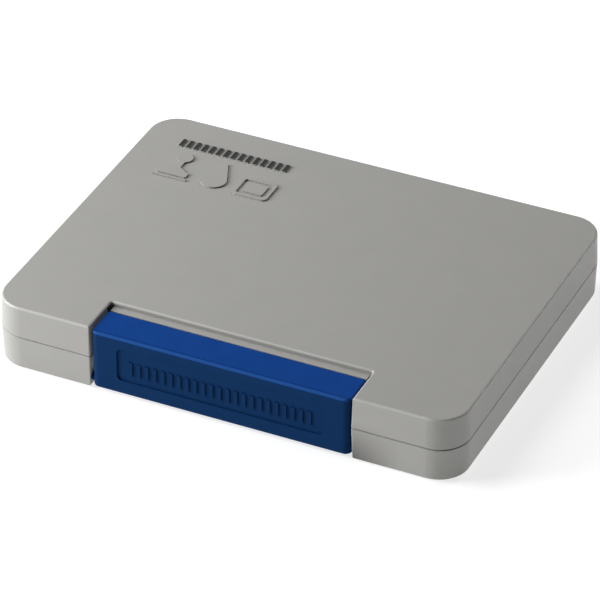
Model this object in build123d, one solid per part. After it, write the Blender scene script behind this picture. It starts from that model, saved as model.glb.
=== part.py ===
from build123d import *
import math
import os

# A hinged desk ink pad in a two-shell plastic case, closed. Millimetres. X runs across the case, Y from
# its front (the latch) to its back (the hinge), Z up from the table. The origin is on the table under the
# middle of the whole object, hinge knuckles included.

# Driving dimensions
CASE_WIDTH = 138.0
CASE_DEPTH = 106.3
SHELLS_HEIGHT = 19.6
CORNER_RADIUS = 9.0
WALL = 1.8
FOOT_LIFT = 0.5  # how far the feet hold the base shell off the table
PARTING_HEIGHT = 10.0  # from the base shell's underside
PARTING_GAP = 0.15
DRAFT = 2.0  # degrees, on both shells' outer walls, away from the parting plane
TOP_EDGE_RADIUS = 0.6
BOTTOM_EDGE_RADIUS = 0.5
RIM_EDGE_RADIUS = 0.3
EMBED = 0.1  # how far joined shapes run into each other

# Hinge, along the back at the parting plane
HINGE_OUT = 0.9  # axis behind the case's back face
KNUCKLE_RADIUS = 2.0
KNUCKLE_CLEARANCE = 0.3
HINGE_X = 42.0  # middle of each of the two knuckle groups
LID_KNUCKLE_LENGTH = 9.6
BASE_KNUCKLE_LENGTH = 5.0
KNUCKLE_GAP = 0.2
WEB_REACH = 4.0  # how far a knuckle's web runs along the wall from the axis
PIN_RADIUS = 0.8
PIN_RUNNING_CLEARANCE = 0.05
PIN_PRESS = 0.01
PIN_END_INSET = 0.1
PIN_CHAMFER = 0.2

# Latch notch, and the finger step behind it in the lid's top
NOTCH_HALF_WIDTH = 38.5
NOTCH_DEPTH = 11.2
NOTCH_CORNER_RADIUS = 0.4
MOUTH_RADIUS = 0.5  # where the notch's sides meet the case's front
STEP_DEPTH = 13.5
STEP_DROP = 1.4
WINDOW_IN = 0.6  # windows in the step's ends reach this far into the ledge
WINDOW_RISE = 0.8  # and this far up the notch's side walls

# Tongue on the base shell inside a rebate in the lid's rim
TONGUE_OUTER_INSET = 1.1
TONGUE_HEIGHT = 1.2
REBATE_INSET = 0.9
REBATE_HEIGHT = 1.4

# Latch lever
LATCH_SIDE_GAP = 0.3
LATCH_BOTTOM_GAP = 0.75
LATCH_TOP_DROP = 0.95
LATCH_PLATE = 1.8
LATCH_FLAP = 1.7
LATCH_FLAP_GAP = 0.2
LATCH_END_RADIUS = 2.0
LATCH_REAR_RADIUS = 0.8
LATCH_INNER_RADIUS = 1.0
LATCH_BARREL_RADIUS = 2.0
TRUNNION_RADIUS = 1.2
TRUNNION_CLEARANCE = 0.05
TRUNNION_LENGTH = 1.75
CHEEK_PAD = (1.4, 5.2, 5.2)
CHEEK_PAD_OUT = 1.4  # from the notch's side wall to the pad's near face
LATCH_OPENING = 25.0  # degrees
SNAP_RADIUS = 0.5
SNAP_GAP = 0.1
HEEL_REACH = 5.0
HEEL_THICKNESS = 1.4
HEEL_WIDTH = 5.0
HEEL_X = 18.0
HEEL_STOP = (6.0, 5.0, 2.0)
HEEL_STOP_CLEARANCE = 0.05
GUSSET_WIDTH = 1.2
GUSSET_DROP = 8.0
GUSSET_REACH = 6.0
GUSSET_TOE = 0.8
GUSSET_XS = (-34.0, -11.0, 11.0, 34.0)
PANEL_WIDTH = 61.0
PANEL_HEIGHT = 10.3
PANEL_BOTTOM = 5.0  # above the base shell's underside
PANEL_DEPTH = 0.45
PANEL_RADIUS = 1.6
GRIP_COUNT = 23
GRIP_PITCH = 2.4
GRIP_WIDTH = 1.1
GRIP_HEIGHT = 4.2
GRIP_PROUD = 0.35
GRIP_BELOW_MIDDLE = 0.7

# Ink pad and the tray that holds it
PAD_WIDTH = 106.0
PAD_DEPTH = 67.0
PAD_RADIUS = 3.0
CLOTH = 0.5
CLOTH_HEM = 2.5
CLOTH_EDGE_RADIUS = 0.8
FOAM_GAP = 0.05
FELT_GAP = 0.1
FOAM_HEIGHT = 4.6
FELT_HEIGHT = 3.0
TRAY_WALL = 1.2
TRAY_INSET = 2.2
TRAY_SEAT = 0.9  # depth of the seat for the pad's frame
WELL_GAP = 0.3
DECK_BELOW_RIM = 0.55
SEAT_GAP = 0.1  # round the frame in its seat
SEAT_RIM = 2.0  # the deck is thicker under the seat, out to this far from it
SEAT_RIM_RADIUS = 7.0
FRAME_BORDER = 4.5
FRAME_HEIGHT = 2.1
FRAME_RADIUS = 5.0
FRAME_EDGE_RADIUS = 0.5
FRAME_WINDOW_GAP = 0.25
HEM_GAP = 0.1

# Lid liner and gasket
LINER_BORDER = 3.8  # liner's edge outside the pad's frame
LINER_PLATE = 1.2
LINER_RADIUS = 8.0
LINER_INNER_RADIUS = 1.0
SKIRT_WIDTH = 2.4
SKIRT_LOW = 12.3
GASKET_WIDTH = 1.8
GASKET_GAP = 0.15
GASKET_EDGE_RADIUS = 0.6
BEAD_WIDTH = 1.0  # of the gasket's bead in the skirt's groove
BEAD_HEIGHT = 1.0

# Feet, label and posts
FOOT_RADIUS = 4.5
FOOT_EDGE_RADIUS = 0.35
FOOT_RECESS = 0.7
FOOT_RECESS_GAP = 0.2
FOOT_X = 57.5
FOOT_Y = 41.5
LABEL_SIZE = (84.0, 42.0)
LABEL_RECESS = 0.2
LABEL_THICKNESS = 0.15
LABEL_RADIUS = 2.0
LABEL_MARGIN = 0.3
POST_RADIUS = 2.5
FRONT_POST_X = 54.0
FRONT_POST_IN = 6.4  # from the case's front face
BACK_POST_X = 61.0
BACK_POST_IN = 8.0  # from its back face
STAKE_RADIUS = 1.2
STAKE_GAP = 0.15
STAKE_HEAD_RADIUS = 2.1
STAKE_HEAD_HEIGHT = 0.7
STAKE_EDGE_RADIUS = 0.56

# Raised mark on the lid
MARK_HEIGHT = 0.5
SIGN_LEFT = -52.0  # middle of the first sign
SIGN_PITCH = 12.4
MARK_FROM_FRONT = 75.4
TICK_COUNT = 15
TICK_LEFT = -56.2
TICK_PITCH = 2.32
TICK_SIZE = (1.1, 3.6)
TICK_RISE = 17.8

# Places worked out from the dimensions above
HINGE_PROUD = HINGE_OUT + KNUCKLE_RADIUS
FRONT_Y = -(CASE_DEPTH + HINGE_PROUD) / 2
BACK_Y = FRONT_Y + CASE_DEPTH
CASE_Y = (FRONT_Y + BACK_Y) / 2
HINGE_Y = BACK_Y + HINGE_OUT
PARTING_Z = FOOT_LIFT + PARTING_HEIGHT
BASE_RIM_Z = PARTING_Z - PARTING_GAP / 2
LID_RIM_Z = PARTING_Z + PARTING_GAP / 2
LID_TOP_Z = FOOT_LIFT + SHELLS_HEIGHT
LID_CEILING_Z = LID_TOP_Z - WALL
LEDGE_Z = LID_TOP_Z - STEP_DROP
FLOOR_Z = FOOT_LIFT + WALL
NOTCH_Y = FRONT_Y + NOTCH_DEPTH
STEP_Y = FRONT_Y + STEP_DEPTH
LATCH_HALF_WIDTH = NOTCH_HALF_WIDTH - LATCH_SIDE_GAP
LATCH_LOW_Z = FOOT_LIFT + LATCH_BOTTOM_GAP
LATCH_TOP_Z = LID_TOP_Z - LATCH_TOP_DROP
PIVOT_Y = FRONT_Y + LATCH_BARREL_RADIUS
PIVOT_Z = LATCH_LOW_Z + LATCH_BARREL_RADIUS
PAD_Y = (NOTCH_Y + BACK_Y) / 2
DECK_Z = BASE_RIM_Z - DECK_BELOW_RIM
SEAT_Z = DECK_Z - TRAY_SEAT
FELT_LOW_Z = FLOOR_Z + TRAY_WALL
FELT_TOP_Z = FELT_LOW_Z + FELT_HEIGHT
FOAM_TOP_Z = FELT_TOP_Z + FOAM_HEIGHT
FRAME_SIZE = (PAD_WIDTH + 2 * FRAME_BORDER, PAD_DEPTH + 2 * FRAME_BORDER)
LINER_SIZE = (FRAME_SIZE[0] + 2 * LINER_BORDER, FRAME_SIZE[1] + 2 * LINER_BORDER)
GROUP_HALF = LID_KNUCKLE_LENGTH / 2 + KNUCKLE_GAP + BASE_KNUCKLE_LENGTH
POSTS = [
    (side * x, y)
    for side in (-1, 1)
    for x, y in ((FRONT_POST_X, FRONT_Y + FRONT_POST_IN), (BACK_POST_X, BACK_Y - BACK_POST_IN))
]


def slab(outline, low, high):
    """An outline drawn in plan, raised from one height to another."""
    return extrude(Pos(0, 0, low) * outline, amount=high - low, dir=(0, 0, 1))


def drafted(outline, rim, end):
    """An outline at a shell's rim, run to the shell's closed end and leaning in by the draft."""
    up = 1 if end > rim else -1
    return extrude(Pos(0, 0, rim) * outline, amount=abs(end - rim), dir=(0, 0, up), taper=DRAFT)


def across(profile, low, high):
    """A profile drawn in Y and Z, run along X."""
    return extrude(Plane.YZ.offset(low) * profile, amount=high - low, dir=(1, 0, 0))


def plan(inset, notch_back):
    """The case's outline moved inwards, with the latch notch cut back to a given Y."""
    outline = Pos(0, CASE_Y) * RectangleRounded(
        CASE_WIDTH - 2 * inset, CASE_DEPTH - 2 * inset, CORNER_RADIUS - inset
    )
    depth = notch_back + inset - FRONT_Y
    notch = Rectangle(2 * (NOTCH_HALF_WIDTH + inset), depth)
    outline -= Pos(0, FRONT_Y + depth / 2) * notch
    for radius, end in ((MOUTH_RADIUS, 0), (NOTCH_CORNER_RADIUS, -1)):
        corners = [v for v in outline.vertices() if abs(abs(v.X) - NOTCH_HALF_WIDTH - inset) < 0.01]
        outline = fillet(ShapeList(corners).group_by(Axis.Y)[end], radius)
    return outline


def pad_plan(width, depth, radius):
    """A rounded rectangle centred on the ink pad."""
    return Pos(0, PAD_Y) * RectangleRounded(width, depth, radius)


def knuckle_groups():
    """For each group: the lid knuckle's X range, then the two base knuckles' X ranges."""
    half = LID_KNUCKLE_LENGTH / 2
    for middle in (-HINGE_X, HINGE_X):
        lid = (middle - half, middle + half)
        left = (middle - GROUP_HALF, middle - half - KNUCKLE_GAP)
        right = (middle + half + KNUCKLE_GAP, middle + GROUP_HALF)
        yield lid, (left, right)


def knuckle(low, high, up, bore_radius):
    """A hinge knuckle with a web to its wall. up is 1 on the lid and -1 on the base."""
    web = Polygon(
        (-HINGE_OUT - WALL / 2, 0),
        (0, 0),
        (0, up * KNUCKLE_RADIUS),
        (-HINGE_OUT, up * WEB_REACH),
        (-HINGE_OUT - WALL / 2, up * WEB_REACH),
        align=None,
    )
    profile = Circle(KNUCKLE_RADIUS) + web - Circle(bore_radius)
    return across(Pos(HINGE_Y, PARTING_Z) * profile, low, high)


def knuckle_room(low, high):
    """The space that a knuckle of the other shell turns in."""
    room = Circle(KNUCKLE_RADIUS + KNUCKLE_CLEARANCE)
    return across(Pos(HINGE_Y, PARTING_Z) * room, low - KNUCKLE_GAP, high + KNUCKLE_GAP)


def base_shell():
    body = drafted(plan(0, NOTCH_Y), BASE_RIM_Z, FOOT_LIFT)
    body = fillet(body.edges().group_by(Axis.Z)[0], BOTTOM_EDGE_RADIUS)
    body = fillet(body.edges().group_by(Axis.Z)[-1], RIM_EDGE_RADIUS)
    body += slab(plan(TONGUE_OUTER_INSET, NOTCH_Y), BASE_RIM_Z, BASE_RIM_Z + TONGUE_HEIGHT)
    body -= slab(plan(WALL, NOTCH_Y), FLOOR_Z, BASE_RIM_Z + TONGUE_HEIGHT)
    body += trunnion_cheeks() + tray_posts() + heel_stops()
    for side in (-1, 1):
        end = side * (NOTCH_HALF_WIDTH + WALL)
        hole = Circle(TRUNNION_RADIUS + TRUNNION_CLEARANCE)
        body -= across(Pos(PIVOT_Y, PIVOT_Z) * hole, min(0, end), max(0, end))
    for lid_range, base_ranges in knuckle_groups():
        for low, high in base_ranges:
            body += knuckle(low, high, -1, PIN_RADIUS - PIN_PRESS)
            body -= across(Pos(HINGE_Y, PARTING_Z) * Circle(PIN_RADIUS - PIN_PRESS), low, high)
        body -= knuckle_room(*lid_range)
    for x, y in foot_places():
        body -= Pos(x, y, FOOT_LIFT) * Cylinder(FOOT_RADIUS + FOOT_RECESS_GAP, 2 * FOOT_RECESS)
    return body - slab(label_plan(LABEL_MARGIN), FOOT_LIFT, FOOT_LIFT + LABEL_RECESS)


def trunnion_cheeks():
    """Thicker pads behind the notch's side walls, where the latch's trunnions turn."""
    pad = Box(*CHEEK_PAD, align=(Align.CENTER, Align.MIN, Align.MIN))
    x = NOTCH_HALF_WIDTH + CHEEK_PAD_OUT + CHEEK_PAD[0] / 2
    y, z = FRONT_Y + WALL / 2, FLOOR_Z - EMBED
    return Part() + [Pos(side * x, y, z) * pad for side in (-1, 1)]


def tray_posts():
    """Four posts under the tray's deck. The front two run through it to heat-staked heads."""
    posts = []
    under = DECK_Z - TRAY_WALL
    for x, y in POSTS:
        posts.append(slab(Pos(x, y) * Circle(POST_RADIUS), FLOOR_Z, under))
        if y < 0:
            posts.append(slab(Pos(x, y) * Circle(STAKE_RADIUS), under, DECK_Z))
            head = slab(Pos(x, y) * Circle(STAKE_HEAD_RADIUS), DECK_Z, DECK_Z + STAKE_HEAD_HEIGHT)
            posts.append(fillet(head.edges().group_by(Axis.Z)[-1], STAKE_EDGE_RADIUS))
    return Part() + posts


def heel_stops():
    """Lugs on the notch's back wall that the latch's heels rise to when it is fully open."""
    angle = math.radians(LATCH_OPENING)
    rise = HEEL_REACH * math.sin(angle) + HEEL_THICKNESS / 2 * math.cos(angle)
    low = PIVOT_Z + rise + HEEL_STOP_CLEARANCE
    lug = Box(*HEEL_STOP, align=(Align.CENTER, Align.MAX, Align.MIN))
    return Part() + [Pos(side * HEEL_X, NOTCH_Y + EMBED, low) * lug for side in (-1, 1)]


def lid_shell():
    body = drafted(plan(0, STEP_Y), LID_RIM_Z, LID_TOP_Z)
    body = fillet(body.edges().group_by(Axis.Z)[-1], TOP_EDGE_RADIUS)
    body += drafted(plan(0, NOTCH_Y), LID_RIM_Z, LEDGE_Z)
    body = fillet(body.edges().group_by(Axis.Z)[0], RIM_EDGE_RADIUS)
    body -= slab(plan(WALL, NOTCH_Y), LID_RIM_Z, LEDGE_Z - WALL)
    body -= slab(plan(WALL, STEP_Y), LID_RIM_Z, LID_CEILING_Z)
    body -= slab(plan(REBATE_INSET, NOTCH_Y), LID_RIM_Z, LID_RIM_Z + REBATE_HEIGHT)
    body -= step_windows()
    groove = Circle(SNAP_RADIUS)
    groove_at = Pos(NOTCH_Y - SNAP_GAP, LATCH_TOP_Z - LATCH_FLAP)
    body -= across(groove_at * groove, -LATCH_HALF_WIDTH, LATCH_HALF_WIDTH)
    for lid_range, base_ranges in knuckle_groups():
        bore = PIN_RADIUS + PIN_RUNNING_CLEARANCE
        body += knuckle(*lid_range, 1, bore)
        body -= across(Pos(HINGE_Y, PARTING_Z) * Circle(bore), *lid_range)
        for low, high in base_ranges:
            body -= knuckle_room(low, high)
    return body + slab(lid_mark(), LID_TOP_Z, LID_TOP_Z + MARK_HEIGHT)


def step_windows():
    """Openings at the two ends of the step, through the ledge and the notch's side walls."""
    width, depth = WINDOW_IN + WALL, STEP_DEPTH - NOTCH_DEPTH
    x = NOTCH_HALF_WIDTH + (WALL - WINDOW_IN) / 2
    window = slab(Rectangle(width, depth), LEDGE_Z - WALL, LEDGE_Z + WINDOW_RISE)
    return Part() + [Pos(side * x, (NOTCH_Y + STEP_Y) / 2) * window for side in (-1, 1)]


def lid_mark():
    """Three plain pictograms, a hand stamp, a drop of ink and a pad, under a row of ticks."""
    y = FRONT_Y + MARK_FROM_FRONT
    mark = Sketch()
    for n, sign in enumerate((stamp_sign(), drop_sign(), pad_sign())):
        mark += Pos(SIGN_LEFT + n * SIGN_PITCH, y) * sign
    for n in range(TICK_COUNT):
        mark += Pos(TICK_LEFT + n * TICK_PITCH, y + TICK_RISE) * Rectangle(*TICK_SIZE)
    return mark


def stamp_sign():
    """A hand stamp from the side. Each sign is drawn in its own millimetres, with its foot at Y = 0."""
    knob = Pos(0, 10.8) * Circle(2.3)
    neck = Pos(0, 7.0) * Rectangle(1.8, 5.0)
    flare = Polygon((-1.2, 5.6), (-4.0, 3.4), (4.0, 3.4), (1.2, 5.6), align=None)
    block = Pos(0, 2.6) * RectangleRounded(9.0, 2.4, 0.4)
    return knob + neck + flare + block + Pos(0, 0.35) * Rectangle(10.4, 0.7)


def drop_sign():
    """A round drop, drawn up to a point by its two tangents."""
    radius, tip = 3.7, 13.1
    away = tip - radius
    lean = math.asin(radius / away)
    x, y = radius * math.cos(lean), radius + radius * math.sin(lean)
    return Pos(0, radius) * Circle(radius) + Polygon((-x, y), (x, y), (0, tip), align=None)


def pad_sign():
    """An ink pad from above."""
    rim = RectangleRounded(10.6, 9.0, 1.4) - RectangleRounded(8.8, 7.2, 0.7)
    return Pos(0, 4.5) * (rim + RectangleRounded(6.4, 4.8, 0.4))


def latch_outside():
    """The latch's outer form, with rounded corners and rounded top and bottom edges."""
    depth = NOTCH_DEPTH - LATCH_FLAP_GAP
    outline = Pos(0, FRONT_Y + depth / 2) * Rectangle(2 * LATCH_HALF_WIDTH, depth)
    outline = fillet(outline.vertices().group_by(Axis.Y)[0], LATCH_END_RADIUS)
    outline = fillet(outline.vertices().group_by(Axis.Y)[-1], LATCH_REAR_RADIUS)
    body = slab(outline, LATCH_LOW_Z, LATCH_TOP_Z)
    body = fillet(body.edges().group_by(Axis.Z)[-1], TOP_EDGE_RADIUS)
    return fillet(body.edges().group_by(Axis.Z)[0], BOTTOM_EDGE_RADIUS)


def latch_lever():
    """The blue lever: a front plate and a top flap that turn about a barrel along its lower edge."""
    plate_back = FRONT_Y + LATCH_PLATE
    flap_back = NOTCH_Y - LATCH_FLAP_GAP
    flap_under = LATCH_TOP_Z - LATCH_FLAP
    room_low = LATCH_LOW_Z - EMBED
    room = Polygon(
        (plate_back, room_low),
        (plate_back, flap_under),
        (flap_back + EMBED, flap_under),
        (flap_back + EMBED, room_low),
        align=None,
    )
    room = fillet(room.vertices().sort_by_distance((plate_back, flap_under))[0], LATCH_INNER_RADIUS)
    outside = latch_outside()
    barrel = across(
        Pos(PIVOT_Y, PIVOT_Z) * Circle(LATCH_BARREL_RADIUS), -LATCH_HALF_WIDTH, LATCH_HALF_WIDTH
    )
    body = outside - across(room, -LATCH_HALF_WIDTH, LATCH_HALF_WIDTH) + (barrel & outside)
    bead = Pos(NOTCH_Y - SNAP_GAP - SNAP_RADIUS, flap_under) * Circle(SNAP_RADIUS)
    body += across(bead, -LATCH_HALF_WIDTH, LATCH_HALF_WIDTH)
    body += latch_gussets(plate_back, flap_under) + latch_heels()
    for side in (-1, 1):
        ends = (side * (LATCH_HALF_WIDTH - LATCH_END_RADIUS), side * (LATCH_HALF_WIDTH + TRUNNION_LENGTH))
        body += across(Pos(PIVOT_Y, PIVOT_Z) * Circle(TRUNNION_RADIUS), min(ends), max(ends))
    return body - latch_panel() + grip_ribs()


def latch_gussets(plate_back, flap_under):
    reach = plate_back + GUSSET_REACH
    shape = Polygon(
        (plate_back - EMBED, flap_under - GUSSET_DROP),
        (plate_back - EMBED, flap_under + EMBED),
        (reach, flap_under + EMBED),
        (reach, flap_under - GUSSET_TOE),
        align=None,
    )
    half = GUSSET_WIDTH / 2
    return Part() + [across(shape, x - half, x + half) for x in GUSSET_XS]


def latch_heels():
    """Tabs behind the barrel that meet the base's lugs when the latch is open."""
    heel = Box(HEEL_WIDTH, HEEL_REACH, HEEL_THICKNESS, align=(Align.CENTER, Align.MIN, Align.CENTER))
    return Part() + [Pos(side * HEEL_X, PIVOT_Y, PIVOT_Z) * heel for side in (-1, 1)]


def latch_panel():
    """The shallow recess in the latch's front face."""
    middle = FOOT_LIFT + PANEL_BOTTOM + PANEL_HEIGHT / 2
    face = Plane(origin=(0, FRONT_Y, middle), x_dir=(1, 0, 0), z_dir=(0, -1, 0))
    panel = face * RectangleRounded(PANEL_WIDTH, PANEL_HEIGHT, PANEL_RADIUS)
    return extrude(panel, amount=PANEL_DEPTH, both=True)


def grip_ribs():
    """Upright finger-grip ribs standing in the recess."""
    foot_y = FRONT_Y + PANEL_DEPTH
    rib = Box(GRIP_WIDTH, GRIP_PROUD + EMBED, GRIP_HEIGHT, align=(Align.CENTER, Align.MAX, Align.CENTER))
    first = -GRIP_PITCH * (GRIP_COUNT - 1) / 2
    z = FOOT_LIFT + PANEL_BOTTOM + PANEL_HEIGHT / 2 - GRIP_BELOW_MIDDLE
    return Part() + [Pos(first + n * GRIP_PITCH, foot_y + EMBED, z) * rib for n in range(GRIP_COUNT)]


def hinge_pin(middle):
    half = GROUP_HALF - PIN_END_INSET
    pin = across(Pos(HINGE_Y, PARTING_Z) * Circle(PIN_RADIUS), middle - half, middle + half)
    ends = pin.edges().filter_by(GeomType.CIRCLE)
    return chamfer(ends, PIN_CHAMFER)


def pad_tray():
    """The tray: a deck round a well that stands on the base's floor."""
    under = DECK_Z - TRAY_WALL
    well = (PAD_WIDTH + 2 * WELL_GAP, PAD_DEPTH + 2 * WELL_GAP)
    seat = [size + 2 * SEAT_GAP for size in FRAME_SIZE]
    seat_rim = [size + 2 * SEAT_RIM for size in seat]
    body = slab(plan(TRAY_INSET, NOTCH_Y), under, DECK_Z)
    body += slab(pad_plan(*seat_rim, SEAT_RIM_RADIUS), under - TRAY_WALL, under)
    body += slab(
        pad_plan(well[0] + 2 * TRAY_WALL, well[1] + 2 * TRAY_WALL, PAD_RADIUS + WELL_GAP + TRAY_WALL),
        FLOOR_Z,
        under - TRAY_WALL,
    )
    body -= slab(pad_plan(*well, PAD_RADIUS + WELL_GAP), FELT_LOW_Z, DECK_Z)
    body -= slab(pad_plan(*seat, FRAME_RADIUS + SEAT_GAP), SEAT_Z, DECK_Z)
    for x, y in POSTS:
        if y < 0:
            body -= slab(Pos(x, y) * Circle(STAKE_RADIUS + STAKE_GAP), under, DECK_Z)
    return body


def felt_reservoir():
    outline = pad_plan(PAD_WIDTH - 2 * FELT_GAP, PAD_DEPTH - 2 * FELT_GAP, PAD_RADIUS - FELT_GAP)
    return slab(outline, FELT_LOW_Z, FELT_TOP_Z)


def foam_layer():
    inside = CLOTH + FOAM_GAP
    outline = pad_plan(PAD_WIDTH - 2 * inside, PAD_DEPTH - 2 * inside, PAD_RADIUS - inside)
    return slab(outline, FELT_TOP_Z, FOAM_TOP_Z)


def pad_cloth():
    """The cloth over the foam, with its hem under the pad's frame."""
    body = slab(pad_plan(PAD_WIDTH, PAD_DEPTH, PAD_RADIUS), SEAT_Z, FOAM_TOP_Z + CLOTH)
    body = fillet(body.edges().group_by(Axis.Z)[-1], CLOTH_EDGE_RADIUS)
    hem = pad_plan(PAD_WIDTH + 2 * CLOTH_HEM, PAD_DEPTH + 2 * CLOTH_HEM, PAD_RADIUS + CLOTH_HEM)
    body += slab(hem, SEAT_Z, SEAT_Z + CLOTH)
    inner = pad_plan(PAD_WIDTH - 2 * CLOTH, PAD_DEPTH - 2 * CLOTH, PAD_RADIUS - CLOTH)
    return body - slab(inner, SEAT_Z, FOAM_TOP_Z)


def pad_frame():
    """The bezel round the pad, which holds the cloth's hem down on the tray."""
    gap = 2 * FRAME_WINDOW_GAP
    hem = 2 * (CLOTH_HEM + HEM_GAP)
    body = slab(pad_plan(*FRAME_SIZE, FRAME_RADIUS), SEAT_Z, SEAT_Z + FRAME_HEIGHT)
    body -= slab(pad_plan(PAD_WIDTH + gap, PAD_DEPTH + gap, PAD_RADIUS), SEAT_Z, SEAT_Z + FRAME_HEIGHT)
    body = fillet(body.edges().group_by(Axis.Z)[-1], FRAME_EDGE_RADIUS)
    hem_room = pad_plan(PAD_WIDTH + hem, PAD_DEPTH + hem, PAD_RADIUS + CLOTH_HEM)
    return body - slab(hem_room, SEAT_Z, SEAT_Z + CLOTH)


def lid_liner():
    """The inner cap: a plate under the lid's ceiling with a skirt that carries the gasket."""
    body = slab(pad_plan(*LINER_SIZE, LINER_RADIUS), SKIRT_LOW, LID_CEILING_Z)
    inner = [size - 2 * SKIRT_WIDTH for size in LINER_SIZE]
    room = slab(pad_plan(*inner, LINER_RADIUS - SKIRT_WIDTH), SKIRT_LOW, LID_CEILING_Z - LINER_PLATE)
    body -= fillet(room.edges().group_by(Axis.Z)[-1], LINER_INNER_RADIUS)
    return body - slab(gasket_ring(BEAD_WIDTH), SKIRT_LOW, SKIRT_LOW + BEAD_HEIGHT)


def gasket_ring(width):
    """A ring of a given width along the middle of the liner's skirt."""
    outer = [size - SKIRT_WIDTH + width for size in LINER_SIZE]
    inner = [size - 2 * width for size in outer]
    radius = LINER_RADIUS - (SKIRT_WIDTH - width) / 2
    return pad_plan(*outer, radius) - pad_plan(*inner, radius - width)


def lid_gasket():
    body = slab(gasket_ring(GASKET_WIDTH), DECK_Z + GASKET_GAP, SKIRT_LOW)
    body = fillet(body.edges().group_by(Axis.Z)[0], GASKET_EDGE_RADIUS)
    return body + slab(gasket_ring(BEAD_WIDTH), SKIRT_LOW, SKIRT_LOW + BEAD_HEIGHT)


def foot_places():
    return [(x, CASE_Y + y) for y in (-FOOT_Y, FOOT_Y) for x in (-FOOT_X, FOOT_X)]


def foot(x, y):
    disc = slab(Pos(x, y) * Circle(FOOT_RADIUS), 0, FOOT_LIFT + FOOT_RECESS)
    return fillet(disc.edges().group_by(Axis.Z)[0], FOOT_EDGE_RADIUS)


def label_plan(margin):
    width, depth = (size + 2 * margin for size in LABEL_SIZE)
    return Pos(0, PAD_Y) * RectangleRounded(width, depth, LABEL_RADIUS + margin)


def bottom_label():
    top = FOOT_LIFT + LABEL_RECESS
    return slab(label_plan(0), top - LABEL_THICKNESS, top)


parts = {
    "base_shell": base_shell(),
    "lid_shell": lid_shell(),
    "latch_lever": latch_lever(),
    "hinge_pin_left": hinge_pin(-HINGE_X),
    "hinge_pin_right": hinge_pin(HINGE_X),
    "pad_tray": pad_tray(),
    "felt_reservoir": felt_reservoir(),
    "foam_layer": foam_layer(),
    "pad_cloth": pad_cloth(),
    "pad_frame": pad_frame(),
    "lid_liner": lid_liner(),
    "lid_gasket": lid_gasket(),
    "bottom_label": bottom_label(),
}
foot_names = ("foot_front_left", "foot_front_right", "foot_back_left", "foot_back_right")
for name, place in zip(foot_names, foot_places()):
    parts[name] = foot(*place)

os.makedirs("parts", exist_ok=True)
for name, part in parts.items():
    part.label = name
    export_step(part, f"parts/{name}.step")
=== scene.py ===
"""The looks of a hinged desk ink pad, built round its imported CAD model. Metres."""
import math

import bpy
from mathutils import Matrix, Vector


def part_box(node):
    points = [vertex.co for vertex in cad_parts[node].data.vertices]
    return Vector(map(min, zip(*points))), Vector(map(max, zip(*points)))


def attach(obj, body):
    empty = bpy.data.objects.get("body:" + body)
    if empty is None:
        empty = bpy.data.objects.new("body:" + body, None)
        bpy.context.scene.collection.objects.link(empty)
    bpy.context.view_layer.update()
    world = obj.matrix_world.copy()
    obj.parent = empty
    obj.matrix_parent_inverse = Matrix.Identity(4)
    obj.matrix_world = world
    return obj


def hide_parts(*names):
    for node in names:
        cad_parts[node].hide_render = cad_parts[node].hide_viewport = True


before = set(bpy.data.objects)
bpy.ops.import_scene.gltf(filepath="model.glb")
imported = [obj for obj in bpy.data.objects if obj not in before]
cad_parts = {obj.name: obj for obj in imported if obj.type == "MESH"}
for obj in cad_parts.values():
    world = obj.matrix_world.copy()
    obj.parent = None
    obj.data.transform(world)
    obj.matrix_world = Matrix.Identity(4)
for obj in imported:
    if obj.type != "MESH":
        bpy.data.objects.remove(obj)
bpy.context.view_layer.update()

MM = 0.001

# The camera looks at a point near the middle of the case's underside.
CASE_CENTRE = Vector((0.0, -1.45 * MM, 0.5 * MM))
AZIMUTH, ELEVATION = 24.87, 34.51
DISTANCE = 1.1850
LENS, SENSOR = 256.94, 36
AIM_RIGHT, AIM_UP = -0.74 * MM, 5.50 * MM
CLIP_END = 20

# Studio: a faint even surround, a self-lit floor and three soft lights.
WORLD_STRENGTH = 0.020
FLOOR_GLOW = 0.685
FLOOR_GAP = 0.05 * MM  # how far the floor lies under the feet
FLOOR_HALF = 3.0
LIGHT_WIDTH = 0.45
LIGHTS = {  # place, watts
    "left": ((-0.60, -0.30, 0.30), 7.6),
    "back right": ((0.33, 0.79, 0.61), 3.0),
    "top left": ((-0.45, 0.15, 0.75), 3.55),
}

# The mark on the lid, and which part of it is printed
MARK_HEIGHT = 0.5 * MM
TICKS_BEHIND = 90.0 * MM  # the ticks lie further than this behind the lid's front
PRINT_DEPTH = 0.12 * MM

# Painted shadow beside the latch, painted shade and highlight on the latch, and print on other pieces
SHADOW_REACH = 13.5 * MM  # along the case from the latch's right end
SHADOW_TOP = 13.0 * MM
LATCH_SHADE_LINE = 1.0 * MM  # behind the latch's front edge
LATCH_HIGHLIGHT_BAND = (0.62 * MM, 0.55 * MM)  # depth and height of its painted edge highlight
LINE_HALF_WIDTH = 0.25 * MM
KEYLINE_INSET = 2.2 * MM

# Soft pieces in the tray
CLOTH_THICKNESS = 0.4 * MM
CLOTH_RISE = 0.22 * MM  # how much its middle stands above its rim
CLOTH_ROUND_OVER = 0.9 * MM
CLOTH_CORNER = 2.95 * MM
FOAM_CORNER, FOAM_SWELL = 2.4 * MM, 0.05 * MM
FELT_CORNER, FELT_SWELL = 2.9 * MM, 0.1 * MM
HEM_SEAT = 0.05 * MM
BLOCK_EDGE = 0.35 * MM
CORNER_STEPS = 10
CLOTH_POINTS, CLOTH_RINGS = 320, 24
BLOCK_POINTS, BLOCK_RINGS = 280, 8
CLOSING = 0.98  # the last ring before the middle is drawn in by this share


# ---------------------------------------------------------------- node trees


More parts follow.
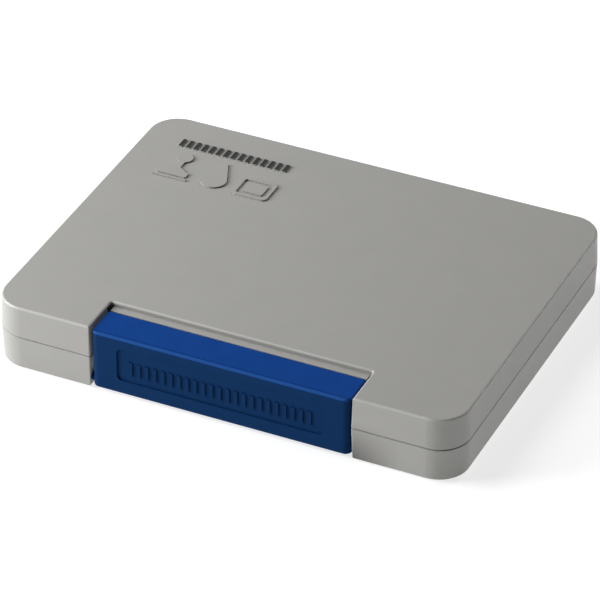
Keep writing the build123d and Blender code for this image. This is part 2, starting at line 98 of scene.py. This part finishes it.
class Tree:
    """A material's node tree with short calls to add and link nodes."""

    def __init__(self, name, **shader):
        self.material = bpy.data.materials.new(name)
        self.material.use_nodes = True
        self.nodes = self.material.node_tree.nodes
        self.links = self.material.node_tree.links
        self.shader = self.nodes["Principled BSDF"]
        for socket, value in shader.items():
            self.shader.inputs[socket.replace("_", " ")].default_value = value
        self.place = self.add("ShaderNodeTexCoord").outputs["Object"]

    def add(self, kind, inputs=None, **settings):
        node = self.nodes.new(kind)
        for key, value in settings.items():
            setattr(node, key, value)
        for key, value in (inputs or {}).items():
            self.feed(value, node.inputs[key])
        return node

    def feed(self, value, socket):
        if isinstance(value, bpy.types.NodeSocket):
            self.links.new(value, socket)
        else:
            socket.default_value = value

    def math(self, operation, a, b=0.0):
        return self.add("ShaderNodeMath", {0: a, 1: b}, operation=operation).outputs[0]

    def product(self, first, *others):
        for other in others:
            first = self.math("MULTIPLY", first, other)
        return first

    def near(self, value, at, within):
        """1 where value is no further than within from at, else 0."""
        inputs = {0: value, 1: at, 2: within}
        return self.add("ShaderNodeMath", inputs, operation="COMPARE").outputs[0]

    def noise(self, size, detail=2.0, stretch=None, roughness=0.5):
        """Noise whose grains are about size metres across."""
        place = self.place
        if stretch:
            place = self.add("ShaderNodeMapping", {"Vector": place, "Scale": stretch}).outputs[0]
        inputs = {"Vector": place, "Scale": 1 / size, "Detail": detail, "Roughness": roughness}
        return self.add("ShaderNodeTexNoise", inputs).outputs["Fac"]

    def ramp(self, value, low, high, to_low=0.0, to_high=1.0, smooth=False):
        kind = "SMOOTHSTEP" if smooth else "LINEAR"
        inputs = {"Value": value, 1: low, 2: high, 3: to_low, 4: to_high}
        return self.add("ShaderNodeMapRange", inputs, interpolation_type=kind).outputs[0]

    def mix(self, fraction, a, b):
        """From colour a to colour b. A mix node keeps its colour sockets at 6 and 7, and out at 2."""
        node = self.add("ShaderNodeMix", data_type="RGBA")
        self.feed(fraction, node.inputs[0])
        self.feed(a, node.inputs[6])
        self.feed(b, node.inputs[7])
        return node.outputs[2]

    def axes(self):
        node = self.add("ShaderNodeSeparateXYZ", {0: self.place})
        return node.outputs[0], node.outputs[1], node.outputs[2]

    def colour(self, value):
        self.feed(value, self.shader.inputs["Base Color"])

    def roughness(self, value):
        self.feed(value, self.shader.inputs["Roughness"])

    def bump(self, height, depth, strength=1.0):
        inputs = {"Height": height, "Distance": depth, "Strength": strength}
        node = self.add("ShaderNodeBump", inputs)
        self.links.new(node.outputs[0], self.shader.inputs["Normal"])


def rgb(red, green, blue):
    return (red, green, blue, 1.0)


# ---------------------------------------------------------------- materials


def case_plastic(name, marked=False):
    """Pale grey ABS with a fine spark-eroded grain and a faint mottle."""
    tree = Tree(name, Specular_IOR_Level=0.42)
    mottle = tree.noise(9 * MM, 3.0)
    shade = tree.mix(tree.ramp(mottle, 0.3, 0.7), rgb(0.323, 0.320, 0.304), rgb(0.333, 0.329, 0.313))
    speck = tree.ramp(tree.noise(0.45 * MM, 2.0), 0.66, 0.8)
    shade = tree.mix(tree.math("MULTIPLY", speck, 0.12), shade, rgb(0.25, 0.25, 0.24))
    # A painted highlight along the lid's top edge.
    shade = tree.mix(painted_edge_highlight(tree), shade, rgb(0.44, 0.435, 0.42))
    # A painted shadow beside the latch's right end, darkest low down.
    shade = tree.mix(latch_painted_shadow(tree), shade, rgb(0.045, 0.044, 0.042))
    if marked:
        shade = tree.mix(printed_ticks(tree), shade, rgb(0.035, 0.035, 0.037))
    tree.colour(shade)
    grain = tree.noise(0.32 * MM, 3.0, roughness=0.6)
    tree.roughness(tree.ramp(grain, 0.25, 0.75, 0.34, 0.46))
    tree.bump(grain, 0.018 * MM, 0.5)
    return tree.material


def painted_edge_highlight(tree):
    """Painted highlight round the lid's top edge, a paler band that comes and goes."""
    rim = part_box("lid_shell")[1].z - MARK_HEIGHT
    z = tree.axes()[2]
    from_side = tree.ramp(z, rim - 0.62 * MM, rim - 0.45 * MM)
    from_top = tree.ramp(z, rim - 0.08 * MM, rim - 0.01 * MM, 1.0, 0.0)
    highlight_patches = tree.ramp(tree.noise(11 * MM, 3.0), 0.3, 0.7, 0.6, 1.0)
    return tree.product(from_side, from_top, highlight_patches)


def latch_painted_shadow(tree):
    """Painted shadow on the front, fading away from the latch's right end and up the case."""
    low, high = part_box("latch_lever")
    x, y, z = tree.axes()
    edge = high.x - 1.0 * MM
    beside = tree.ramp(x, edge - 0.2 * MM, edge + 0.2 * MM)
    along = tree.ramp(x, edge, edge + SHADOW_REACH, 1.0, 0.0)
    up = tree.ramp(z, 1 * MM, SHADOW_TOP, 1.0, 0.0)
    back = tree.ramp(y, low.y + 3 * MM, low.y + 14 * MM, 1.0, 0.0, smooth=True)
    patchy = tree.ramp(tree.noise(5 * MM, 3.0), 0.3, 0.7, 0.74, 0.84)
    return tree.product(along, up, beside, back, patchy)


def printed_ticks(tree):
    """1 on the tops of the raised ticks, which are hot-stamped dark."""
    low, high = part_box("lid_shell")
    _, y, z = tree.axes()
    raised = tree.math("GREATER_THAN", z, high.z - PRINT_DEPTH)
    behind = tree.math("GREATER_THAN", y, low.y + TICKS_BEHIND)
    return tree.product(raised, behind)


def latch_plastic():
    """Satin blue ABS with painted light: the flap on top painted brighter than the front, a thin line
    of painted shade behind the front edge, and a painted highlight along that edge.
    """
    tree = Tree("latch_plastic", Specular_IOR_Level=0.015)
    low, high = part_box("latch_lever")
    _, y, z = tree.axes()
    # Lit and shaded copies of one blue: the flap's top is painted brighter and the front darker.
    top = tree.ramp(z, high.z - 0.75 * MM, high.z - 0.25 * MM, smooth=True)
    mottle = tree.ramp(tree.noise(6 * MM, 3.0), 0.3, 0.7)
    front = tree.mix(mottle, rgb(0.0046, 0.0265, 0.089), rgb(0.0052, 0.0290, 0.097))
    flap = tree.mix(mottle, rgb(0.0068, 0.0450, 0.210), rgb(0.0076, 0.0485, 0.224))
    shade = tree.mix(top, front, flap)
    from_front = tree.math("SUBTRACT", y, low.y)
    # A thin line of painted shade just behind the front edge, on the flap's top.
    painted_crease_shade = tree.product(tree.near(from_front, LATCH_SHADE_LINE, LINE_HALF_WIDTH), top, 0.5)
    shade = tree.mix(painted_crease_shade, shade, rgb(0.0035, 0.022, 0.105))
    # A painted highlight along the front top edge of the latch.
    in_front = tree.math("LESS_THAN", from_front, LATCH_HIGHLIGHT_BAND[0])
    high_up = tree.math("GREATER_THAN", z, high.z - LATCH_HIGHLIGHT_BAND[1])
    edge = tree.product(in_front, high_up)
    tree.colour(tree.mix(edge, shade, rgb(0.015, 0.068, 0.255)))
    grain = tree.noise(0.28 * MM, 3.0)
    tree.roughness(tree.ramp(grain, 0.25, 0.75, 0.34, 0.46))
    tree.bump(grain, 0.012 * MM, 0.5)
    return tree.material


def plain_plastic(name, dark, light, rough):
    """A moulded plastic with flow marks and a light grain."""
    tree = Tree(name)
    flow = tree.noise(14 * MM, 2.0, stretch=(0.25, 1.0, 1.0))
    tree.colour(tree.mix(tree.ramp(flow, 0.3, 0.7), dark, light))
    grain = tree.noise(0.4 * MM, 2.0)
    tree.roughness(tree.ramp(grain, 0.2, 0.8, rough - 0.06, rough + 0.08))
    tree.bump(grain, 0.012 * MM, 0.4)
    return tree.material


def tray_plastic():
    """Off-white polypropylene with ink smudges round the pad's bezel."""
    tree = Tree("tray_plastic", Subsurface_Weight=0.04)
    flow = tree.ramp(tree.noise(16 * MM, 2.0), 0.3, 0.7)
    shade = tree.mix(flow, rgb(0.60, 0.60, 0.58), rgb(0.65, 0.65, 0.63))
    smudge = tree.ramp(tree.noise(5 * MM, 4.0, roughness=0.65), 0.66, 0.74, smooth=True)
    shade = tree.mix(tree.math("MULTIPLY", smudge, 0.35), shade, rgb(0.05, 0.08, 0.32))
    tree.colour(shade)
    grain = tree.noise(0.5 * MM, 2.0)
    tree.roughness(tree.ramp(grain, 0.2, 0.8, 0.34, 0.5))
    tree.bump(grain, 0.015 * MM, 0.4)
    return tree.material


def steel():
    """Drawn wire, with fine lines along it."""
    tree = Tree("pin_steel", Metallic=1.0)
    line = tree.noise(0.12 * MM, 2.0, stretch=(0.03, 1.0, 1.0))
    tree.colour(tree.mix(line, rgb(0.42, 0.42, 0.43), rgb(0.62, 0.62, 0.62)))
    tree.roughness(tree.ramp(line, 0.2, 0.8, 0.24, 0.42))
    tree.bump(line, 0.006 * MM, 0.6)
    return tree.material


def rubber(name, dark, light):
    tree = Tree(name, Specular_IOR_Level=0.3)
    mottle = tree.ramp(tree.noise(2.5 * MM, 3.0), 0.3, 0.7)
    tree.colour(tree.mix(mottle, dark, light))
    grain = tree.noise(0.2 * MM, 2.0)
    tree.roughness(tree.ramp(grain, 0.2, 0.8, 0.66, 0.84))
    tree.bump(grain, 0.02 * MM, 0.6)
    return tree.material


def paper():
    """Coated label stock, with a printed keyline round its edge and no words."""
    tree = Tree("label_paper")
    low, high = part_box("bottom_label")
    middle, half = (low + high) / 2, (high - low) / 2
    x, y, _ = tree.axes()
    to_edge = []
    for along, centre, reach in ((x, middle.x, half.x), (y, middle.y, half.y)):
        out = tree.math("ABSOLUTE", tree.math("SUBTRACT", along, centre))
        to_edge.append(tree.math("SUBTRACT", reach, out))
    line = tree.near(tree.math("MINIMUM", *to_edge), KEYLINE_INSET, LINE_HALF_WIDTH)
    fibre = tree.ramp(tree.noise(0.6 * MM, 4.0), 0.3, 0.7)
    shade = tree.mix(fibre, rgb(0.70, 0.70, 0.67), rgb(0.76, 0.76, 0.73))
    tree.colour(tree.mix(line, shade, rgb(0.02, 0.06, 0.26)))
    tree.roughness(tree.ramp(fibre, 0.0, 1.0, 0.45, 0.6))
    tree.bump(fibre, 0.01 * MM, 0.4)
    return tree.material


def weave(tree, pitch):
    """Plain weave height, 0 to 1: threads along X and Y that pass over each other in turn."""
    x, y, _ = tree.axes()
    wobble = tree.ramp(tree.noise(3.5 * MM, 2.0), 0.0, 1.0, -0.25, 0.25)
    turns = math.pi / pitch
    across = tree.math("ADD", tree.math("MULTIPLY", x, turns), wobble)
    along = tree.math("ADD", tree.math("MULTIPLY", y, turns), wobble)
    warp = tree.math("ABSOLUTE", tree.math("SINE", across))
    weft = tree.math("ABSOLUTE", tree.math("SINE", along))
    crossing = tree.math("MULTIPLY", tree.math("COSINE", across), tree.math("COSINE", along))
    over = tree.ramp(crossing, -0.6, 0.6)
    one = tree.math("MULTIPLY", warp, over)
    other = tree.math("MULTIPLY", weft, tree.math("SUBTRACT", 1.0, over))
    return tree.math("ADD", one, other)


def ink_cloth():
    """Plain-woven cotton, wet with blue ink: dark, with a damp sheen and uneven patches."""
    tree = Tree("ink_cloth", Specular_IOR_Level=0.22)
    height = weave(tree, 0.42 * MM)
    patch = tree.ramp(tree.noise(14 * MM, 5.0, roughness=0.62), 0.3, 0.7, smooth=True)
    wet = tree.mix(patch, rgb(0.0045, 0.012, 0.110), rgb(0.0090, 0.026, 0.195))
    slub = tree.ramp(tree.noise(1.6 * MM, 2.0, stretch=(0.12, 1.0, 1.0)), 0.62, 0.72)
    wet = tree.mix(tree.math("MULTIPLY", slub, 0.35), wet, rgb(0.016, 0.042, 0.27))
    # Painted shade: the hollows between threads are darker than the thread tops.
    tree.colour(tree.mix(tree.ramp(height, 0.1, 0.9), rgb(0.0015, 0.004, 0.045), wet))
    tree.roughness(tree.ramp(patch, 0.0, 1.0, 0.36, 0.62))
    tree.bump(height, 0.09 * MM, 0.8)
    return tree.material


def ink_foam():
    """Open-cell foam soaked in ink: round pores with painted shade at their bottoms."""
    tree = Tree("ink_foam", Specular_IOR_Level=0.4)
    cells = tree.add("ShaderNodeTexVoronoi", {"Vector": tree.place, "Scale": 1 / (0.7 * MM)})
    pore = tree.ramp(cells.outputs["Distance"], 0.15, 0.55, smooth=True)
    # Painted shade: each pore darkens towards its bottom.
    tree.colour(tree.mix(pore, rgb(0.002, 0.005, 0.05), rgb(0.010, 0.028, 0.20)))
    tree.roughness(tree.ramp(pore, 0.0, 1.0, 0.45, 0.7))
    tree.bump(pore, 0.2 * MM, 0.8)
    return tree.material


def ink_felt():
    """Pressed wool felt soaked in ink: short tangled fibres."""
    tree = Tree("ink_felt", Specular_IOR_Level=0.3, Sheen_Weight=0.1)
    long_way = tree.noise(0.5 * MM, 5.0, stretch=(0.3, 1.0, 1.0), roughness=0.7)
    short_way = tree.noise(0.5 * MM, 5.0, stretch=(1.0, 0.3, 1.0), roughness=0.7)
    fibre = tree.math("MAXIMUM", long_way, short_way)
    tree.colour(tree.mix(tree.ramp(fibre, 0.4, 0.8), rgb(0.002, 0.004, 0.04), rgb(0.012, 0.024, 0.16)))
    tree.roughness(tree.ramp(fibre, 0.4, 0.8, 0.6, 0.9))
    tree.bump(fibre, 0.25 * MM, 0.8)
    return tree.material


def dress(material, *nodes):
    """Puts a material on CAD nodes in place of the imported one."""
    for node in nodes:
        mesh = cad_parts[node].data
        mesh.materials.clear()
        mesh.materials.append(material)


# ---------------------------------------------------------------- soft pieces


def ring(half_x, half_y, radius, steps):
    """Points round a rounded rectangle, steps to each corner and a share to each side."""
    points = []
    for quarter in range(4):
        sign_x = (1, -1, -1, 1)[quarter]
        sign_y = (1, 1, -1, -1)[quarter]
        for step in range(steps + 1):
            angle = math.pi / 2 * (quarter + step / steps)
            points.append(
                (
                    sign_x * (half_x - radius) + radius * math.cos(angle),
                    sign_y * (half_y - radius) + radius * math.sin(angle),
                )
            )
    return points


def even(points, count):
    """The closed outline through points, cut into count equal lengths."""
    spans = list(zip(points, points[1:] + points[:1]))
    lengths = [math.dist(a, b) for a, b in spans]
    step, result, at, done = sum(lengths) / count, [], 0, 0.0
    for n in range(count):
        want = n * step
        while done + lengths[at] < want:
            done += lengths[at]
            at += 1
        (ax, ay), (bx, by) = spans[at]
        part = (want - done) / lengths[at]
        result.append((ax + (bx - ax) * part, ay + (by - ay) * part))
    return result


def stack(name, outline, centre, levels, close_low=False):
    """A skin through copies of an outline. Each level is (outward offset, scale, height)."""
    vertices, faces, count = [], [], len(outline)
    extent_x = max(x for x, y in outline)
    extent_y = max(y for x, y in outline)
    for offset, scale, height in levels:
        grow_x, grow_y = 1 + offset / extent_x, 1 + offset / extent_y
        for x, y in outline:
            z = height(x * scale, y * scale) if callable(height) else height
            vertices.append((centre.x + x * grow_x * scale, centre.y + y * grow_y * scale, z))
    for level in range(len(levels) - 1):
        for n in range(count):
            a, b = level * count + n, level * count + (n + 1) % count
            faces.append((a, b, b + count, a + count))
    top = levels[-1][2]
    vertices.append((centre.x, centre.y, top(0, 0) if callable(top) else top))
    last = (len(levels) - 1) * count
    faces += [(last + n, last + (n + 1) % count, len(vertices) - 1) for n in range(count)]
    if close_low:
        faces.append(tuple(reversed(range(count))))
    mesh = bpy.data.meshes.new(name)
    mesh.from_pydata(vertices, [], faces)
    mesh.shade_smooth()
    piece = bpy.data.objects.new(name, mesh)
    bpy.context.collection.objects.link(piece)
    return piece


def pad_outline(node, radius):
    """A CAD block's rounded outline about its own centre, and that centre."""
    low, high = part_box(node)
    half = (high - low) / 2
    outline = even(ring(half.x, half.y, radius, CORNER_STEPS), BLOCK_POINTS)
    return outline, (low + high) / 2


def crown(half_x, half_y, top, rise):
    """Height of a surface that swells by rise in its middle."""

    def height(x, y):
        across, along = min(1.0, abs(x) / half_x), min(1.0, abs(y) / half_y)
        return top + rise * (1 - across**2) * (1 - along**2)

    return height


def make_cloth():
    """The inked cloth, stretched over the foam: crowned, rounded over the edge, with a clamped hem."""
    low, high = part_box("pad_cloth")
    foam_low, foam_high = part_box("foam_layer")
    half_x = foam_high.x + CLOTH_THICKNESS
    half_y = (foam_high.y - foam_low.y) / 2 + CLOTH_THICKNESS
    outline = even(ring(half_x, half_y, CLOTH_CORNER, CORNER_STEPS), CLOTH_POINTS)
    centre = (foam_low + foam_high) / 2
    seat, top = low.z + HEM_SEAT, high.z - CLOTH_RISE
    hem = high.x - half_x
    # The hem lies out under the bezel, then the cloth turns up the foam's side.
    levels = [
        (hem, 1.0, seat + 0.30 * MM),
        (hem * 0.45, 1.0, seat + 0.34 * MM),
        (0.5 * MM, 1.0, seat + 0.38 * MM),
        (0.12 * MM, 1.0, seat + 0.52 * MM),
        (0.0, 1.0, seat + 0.95 * MM),
    ]
    for step in range(7):
        angle = math.pi / 2 * step / 6
        inward = CLOTH_ROUND_OVER * (1 - math.cos(angle))
        levels.append((-inward, 1.0, top - CLOTH_ROUND_OVER * (1 - math.sin(angle))))
    face = crown(half_x - CLOTH_ROUND_OVER, half_y - CLOTH_ROUND_OVER, top, CLOTH_RISE)
    for n in range(1, CLOTH_RINGS + 1):
        levels.append((-CLOTH_ROUND_OVER, 1 - (n / CLOTH_RINGS) ** 1.2 * CLOSING, face))
    piece = stack("inked_cloth", outline, centre, levels)
    solid = piece.modifiers.new("thickness", "SOLIDIFY")
    solid.thickness, solid.offset = CLOTH_THICKNESS, -1.0
    piece.data.materials.append(ink_cloth())
    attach(piece, "base")
    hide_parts("pad_cloth")


def make_block(name, node, radius, material, swell):
    """A soft block in the well, its edges rounded and its sides slightly swollen."""
    low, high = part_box(node)
    outline, centre = pad_outline(node, radius)
    tall = high.z - low.z - 2 * BLOCK_EDGE
    turns = [math.pi / 2 * step / 3 for step in range(4)]
    levels = []
    for angle in turns:
        inward, up = BLOCK_EDGE * (1 - math.sin(angle)), BLOCK_EDGE * (1 - math.cos(angle))
        levels.append((-inward - swell, 1.0, low.z + up))
    for part in (n / 6 for n in range(1, 6)):
        inward = swell * (1 - math.sin(math.pi * part))
        levels.append((-inward, 1.0, low.z + BLOCK_EDGE + tall * part))
    for angle in turns:
        inward, down = BLOCK_EDGE * (1 - math.cos(angle)), BLOCK_EDGE * (1 - math.sin(angle))
        levels.append((-inward - swell, 1.0, high.z - down))
    for n in range(1, BLOCK_RINGS + 1):
        levels.append((-BLOCK_EDGE - swell, 1 - n / BLOCK_RINGS * CLOSING, high.z))
    piece = stack(name, outline, centre, levels, close_low=True)
    piece.data.materials.append(material)
    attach(piece, "base")
    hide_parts(node)


# ---------------------------------------------------------------- stage


def make_floor():
    tree = Tree("floor", Specular_IOR_Level=0.1)
    cloud = tree.ramp(tree.noise(0.4, 2.0), 0.3, 0.7)
    tree.colour(tree.mix(cloud, rgb(0.49, 0.49, 0.49), rgb(0.51, 0.51, 0.51)))
    tree.roughness(tree.ramp(cloud, 0.0, 1.0, 0.8, 0.9))
    tree.shader.inputs["Emission Color"].default_value = rgb(1, 1, 1)
    tree.shader.inputs["Emission Strength"].default_value = FLOOR_GLOW
    mesh = bpy.data.meshes.new("floor")
    around = ((-1, -1), (1, -1), (1, 1), (-1, 1))
    points = [(x * FLOOR_HALF, y * FLOOR_HALF, -FLOOR_GAP) for x, y in around]
    mesh.from_pydata(points, [], [(0, 1, 2, 3)])
    mesh.materials.append(tree.material)
    floor = bpy.data.objects.new("floor", mesh)
    bpy.context.collection.objects.link(floor)


def make_lights():
    world = bpy.data.worlds.new("studio")
    bpy.context.scene.world = world
    world.use_nodes = True
    background = world.node_tree.nodes["Background"]
    background.inputs[0].default_value = rgb(1, 1, 1)
    background.inputs[1].default_value = WORLD_STRENGTH
    for name, (place, power) in LIGHTS.items():
        data = bpy.data.lights.new(name, "AREA")
        data.shape, data.size, data.energy = "DISK", LIGHT_WIDTH, power
        light = bpy.data.objects.new(name, data)
        light.location = place
        light.rotation_euler = Vector(place).to_track_quat("Z", "Y").to_euler()
        bpy.context.collection.objects.link(light)


def make_camera():
    a, e = math.radians(AZIMUTH), math.radians(ELEVATION)
    back = Vector((math.sin(a) * math.cos(e), -math.cos(a) * math.cos(e), math.sin(e)))
    right = Vector((math.cos(a), math.sin(a), 0))
    aim = CASE_CENTRE + right * AIM_RIGHT + back.cross(right) * AIM_UP
    data = bpy.data.cameras.new("camera")
    data.lens, data.sensor_width, data.clip_end = LENS, SENSOR, CLIP_END
    camera = bpy.data.objects.new("camera", data)
    camera.location = aim + back * DISTANCE
    camera.rotation_euler = (-back).to_track_quat("-Z", "Y").to_euler()
    bpy.context.collection.objects.link(camera)
    bpy.context.scene.camera = camera


bpy.context.scene.view_settings.view_transform = "Standard"
dress(case_plastic("case_plastic"), "base_shell")
dress(case_plastic("lid_plastic", marked=True), "lid_shell")
dress(latch_plastic(), "latch_lever")
dress(steel(), "hinge_pin_left", "hinge_pin_right")
dress(tray_plastic(), "pad_tray", "lid_liner")
dress(plain_plastic("bezel_plastic", rgb(0.66, 0.66, 0.65), rgb(0.72, 0.72, 0.71), 0.3), "pad_frame")
dress(rubber("gasket_rubber", rgb(0.045, 0.045, 0.05), rgb(0.065, 0.065, 0.07)), "lid_gasket")
feet = ("foot_front_left", "foot_front_right", "foot_back_left", "foot_back_right")
dress(rubber("foot_rubber", rgb(0.012, 0.012, 0.013), rgb(0.022, 0.022, 0.024)), *feet)
dress(paper(), "bottom_label")
make_cloth()
make_block("soaked_foam", "foam_layer", FOAM_CORNER, ink_foam(), FOAM_SWELL)
make_block("soaked_felt", "felt_reservoir", FELT_CORNER, ink_felt(), FELT_SWELL)
make_floor()
make_lights()
make_camera()
